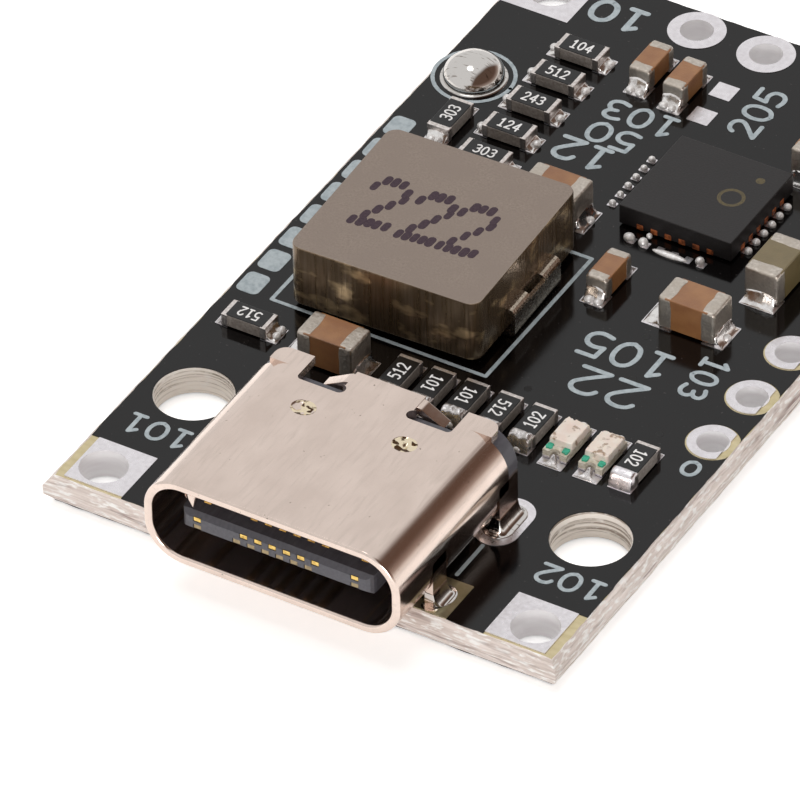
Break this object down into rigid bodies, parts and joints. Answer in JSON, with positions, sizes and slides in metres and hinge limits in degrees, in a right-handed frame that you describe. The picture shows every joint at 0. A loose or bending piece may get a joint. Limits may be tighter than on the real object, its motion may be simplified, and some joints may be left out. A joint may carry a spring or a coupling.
{
  "type": "battery charger circuit module",
  "caption": "Flat rectangular circuit module with a power socket at one end, a square inductor, a charger chip, small chip parts and wire pads in its corners.",
  "frame": {"origin": "middle of the board's underside", "axes": "+X to the right as seen from the socket, +Y from the socket to the battery end, +Z out of the face that carries the parts"},
  "size_m": [0.018, 0.0317, 0.0042],
  "materials": {
    "solder_mask": "black solder mask over glass-fibre laminate",
    "nickel": "nickel plated, satin",
    "black_plastic": "moulded",
    "gold": "gold plated",
    "powder_iron": "pressed powder, matte",
    "tin": "tin plated",
    "chip_epoxy": "moulded, matte",
    "resistor_black": "black coat over ceramic",
    "brown_ceramic": "fired, satin",
    "olive_ceramic": "fired, satin",
    "cream_lens": "cast lens"
  },
  "bodies": {
    "root": {"board": "solder_mask", "usb_shell": "nickel", "usb_insulator": "black_plastic", "inductor_core": "powder_iron", "inductor_terminal_right": "tin", "inductor_terminal_left": "tin", "charger_chip": "chip_epoxy", "solder_mound": "tin", "led_1": "cream_lens", "led_2": "cream_lens", "usb_contact_upper_1": "gold", "usb_contact_upper_2": "gold", "usb_contact_upper_3": "gold", "usb_contact_upper_4": "gold", "usb_contact_upper_5": "gold", "usb_contact_upper_6": "gold", "usb_contact_upper_7": "gold", "usb_contact_upper_8": "gold", "usb_contact_lower_1": "gold", "usb_contact_lower_2": "gold", "usb_contact_lower_3": "gold", "usb_contact_lower_4": "gold", "usb_contact_lower_5": "gold", "usb_contact_lower_6": "gold", "usb_contact_lower_7": "gold", "usb_contact_lower_8": "gold", "resistor_row_1": "resistor_black", "resistor_bank_1": "resistor_black", "resistor_row_2": "resistor_black", "resistor_bank_2": "resistor_black", "resistor_row_3": "resistor_black", "resistor_bank_3": "resistor_black", "resistor_row_4": "resistor_black", "resistor_bank_4": "resistor_black", "resistor_row_5": "resistor_black", "resistor_bank_5": "resistor_black", "resistor_row_end": "resistor_black", "resistor_side": "resistor_black", "resistor_outer": "resistor_black", "capacitor_input": "brown_ceramic", "capacitor_switch": "brown_ceramic", "capacitor_output": "brown_ceramic", "capacitor_supply": "olive_ceramic", "capacitor_end": "brown_ceramic", "capacitor_boost": "brown_ceramic", "capacitor_filter_1": "brown_ceramic", "capacitor_filter_2": "brown_ceramic"}
  },
  "joints": []
}
